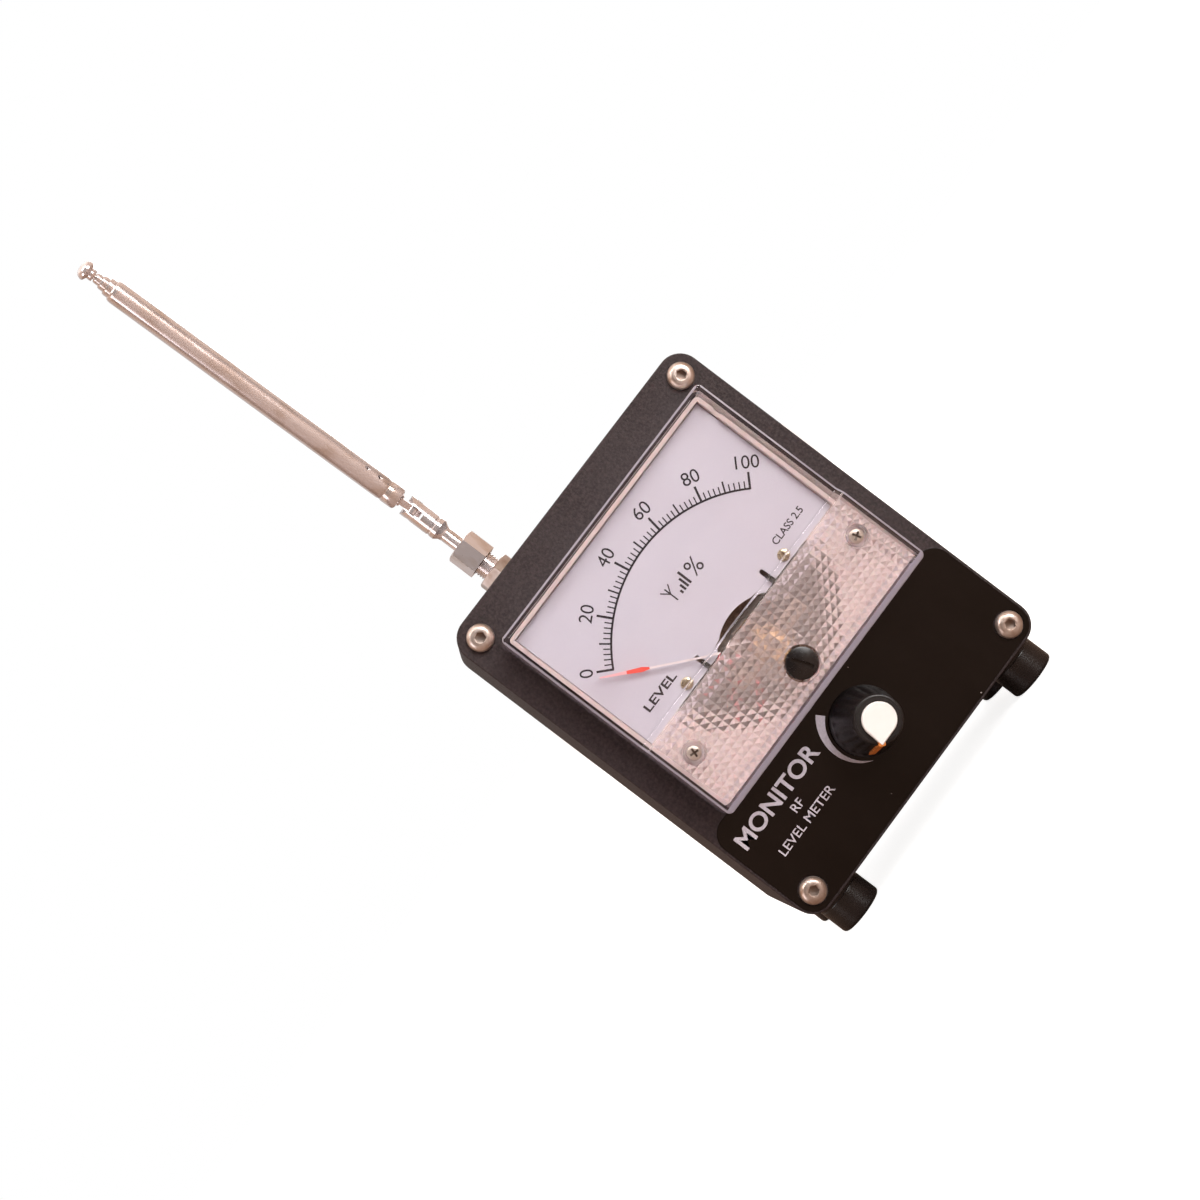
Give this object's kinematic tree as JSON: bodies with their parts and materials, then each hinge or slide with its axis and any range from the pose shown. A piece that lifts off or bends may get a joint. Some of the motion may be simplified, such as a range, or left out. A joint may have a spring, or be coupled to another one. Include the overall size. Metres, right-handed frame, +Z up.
{
  "type": "analogue radio signal strength meter",
  "caption": "Small black box with a moving-coil panel meter, a sensitivity knob and a folding telescopic antenna, for reading radio signal strength.",
  "frame": {"origin": "centre of the object's box, at the height of the feet's bottom faces", "axes": "+Z up through the top wall, -Y out of the front panel, +X to the right of a reader facing the dial"},
  "size_m": [0.076, 0.0688, 0.2051],
  "materials": {
    "black_paint": "fine-textured black coating",
    "gloss_overlay": "smooth printed film",
    "steel": "bright machined",
    "rubber": "moulded rubber",
    "cream_plastic": "moulded cream plastic",
    "clear_plastic": "clear moulded cover",
    "dial_white": "satin white paint with a printed scale",
    "brass": "machined brass",
    "iron": "plated iron",
    "magnet": "ground magnet alloy",
    "copper": "enamelled copper winding",
    "pointer_paint": "aluminium blade with a red painted tip",
    "black_plastic": "moulded black plastic",
    "white_plastic": "moulded white plastic",
    "pot_metal": "stamped can",
    "circuit_board": "solder-masked board",
    "wire_black": "sleeved wire",
    "wire_red": "sleeved wire",
    "wire_yellow": "sleeved wire",
    "chrome": "polished chrome plate"
  },
  "bodies": {
    "case": {"front_panel": "black_paint", "body_shell": "black_paint", "rear_panel": "black_paint", "panel_overlay": "gloss_overlay", "front_screw_top_left": "steel", "front_screw_top_right": "steel", "front_screw_bottom_left": "steel", "front_screw_bottom_right": "steel", "rear_screw_top_left": "steel", "rear_screw_top_right": "steel", "rear_screw_bottom_left": "steel", "rear_screw_bottom_right": "steel", "foot_screw_front_left": "steel", "foot_screw_front_right": "steel", "foot_screw_rear_left": "steel", "foot_screw_rear_right": "steel", "cover_screw_left": "steel", "cover_screw_right": "steel", "meter_nut_left": "steel", "meter_nut_right": "steel", "pot_nut": "steel", "sma_nut": "steel", "foot_front_left": "rubber", "foot_front_right": "rubber", "foot_rear_left": "rubber", "foot_rear_right": "rubber", "meter_base": "cream_plastic", "meter_cover": "clear_plastic", "dial_plate": "dial_white", "dial_screw_left": "brass", "dial_screw_right": "brass", "terminal_screw_left": "brass", "terminal_screw_right": "brass", "bearing_bridge": "brass", "sma_jack": "brass", "iron_ring": "iron", "core_magnet": "magnet", "pot_body": "pot_metal", "detector_board": "circuit_board", "antenna_lead": "wire_black", "pot_wire_low": "wire_black", "pot_wire_wiper": "wire_red", "pot_wire_high": "wire_yellow"},
    "knob": {"knob": "black_plastic", "knob_cap": "white_plastic", "pot_shaft": "steel"},
    "movement": {"needle": "pointer_paint", "moving_coil": "copper"},
    "zero_lever": {"zero_lever": "brass", "hairspring": "brass"},
    "zero_adjuster": {"zero_adjuster": "black_plastic"},
    "coupling_nut": {"coupling_nut": "chrome"},
    "antenna_elbow": {"antenna_fork": "chrome", "hinge_pin": "steel"},
    "antenna_arm": {"antenna_tongue": "chrome", "antenna_tube_1": "chrome"},
    "section_2": {"antenna_tube_2": "chrome"},
    "section_3": {"antenna_tube_3": "chrome"},
    "section_4": {"antenna_tube_4": "chrome"},
    "antenna_tip": {"tip_rod": "chrome"}
  },
  "joints": [
    {"name": "knob_turn", "type": "hinge", "parent": "case", "child": "knob", "pos_m": [0, -0.02523, 0.02405], "axis": [0, 1, 0], "range_deg": [0, 270]},
    {"name": "needle_swing", "type": "hinge", "parent": "case", "child": "movement", "pos_m": [0, -0.02322, 0.04895], "axis": [0, 1, 0], "range_deg": [0, 97], "stiffness_Nm_per_rad": 0.0002, "springref_deg": -1.15},
    {"name": "zero_adjust", "type": "hinge", "parent": "case", "child": "zero_adjuster", "pos_m": [0, -0.03022, 0.04215], "axis": [0, 1, 0], "range_deg": [-30, 30]},
    {"name": "zero_lever_swing", "type": "hinge", "parent": "case", "child": "zero_lever", "pos_m": [0, -0.02602, 0.04895], "axis": [0, 1, 0], "range_deg": [-4.2, 4.2]},
    {"name": "coupling_nut_spin", "type": "hinge", "parent": "case", "child": "coupling_nut", "pos_m": [-0.0192, 0.00777, 0.10855], "axis": [0, 0, 1], "continuous": true},
    {"name": "antenna_swivel", "type": "hinge", "parent": "case", "child": "antenna_elbow", "pos_m": [-0.0192, 0.00777, 0.11175], "axis": [0, 0, 1], "continuous": true},
    {"name": "antenna_tilt", "type": "hinge", "parent": "antenna_elbow", "child": "antenna_arm", "pos_m": [-0.0192, 0.00777, 0.12375], "axis": [0.9903, -0.1392, 0], "range_deg": [-105, 75]},
    {"name": "slide_2", "type": "slide", "parent": "antenna_arm", "child": "section_2", "axis": [-0.036, -0.2563, 0.9659], "range_m": [0, 0.058]},
    {"name": "slide_3", "type": "slide", "parent": "section_2", "child": "section_3", "axis": [-0.036, -0.2563, 0.9659], "range_m": [0, 0.058]},
    {"name": "slide_4", "type": "slide", "parent": "section_3", "child": "section_4", "axis": [-0.036, -0.2563, 0.9659], "range_m": [0, 0.058]},
    {"name": "slide_tip", "type": "slide", "parent": "section_4", "child": "antenna_tip", "axis": [-0.036, -0.2563, 0.9659], "range_m": [0, 0.058]}
  ],
  "couplings": [
    {"joint": "zero_lever_swing", "follows": "zero_adjust", "ratio": -0.1333}
  ]
}
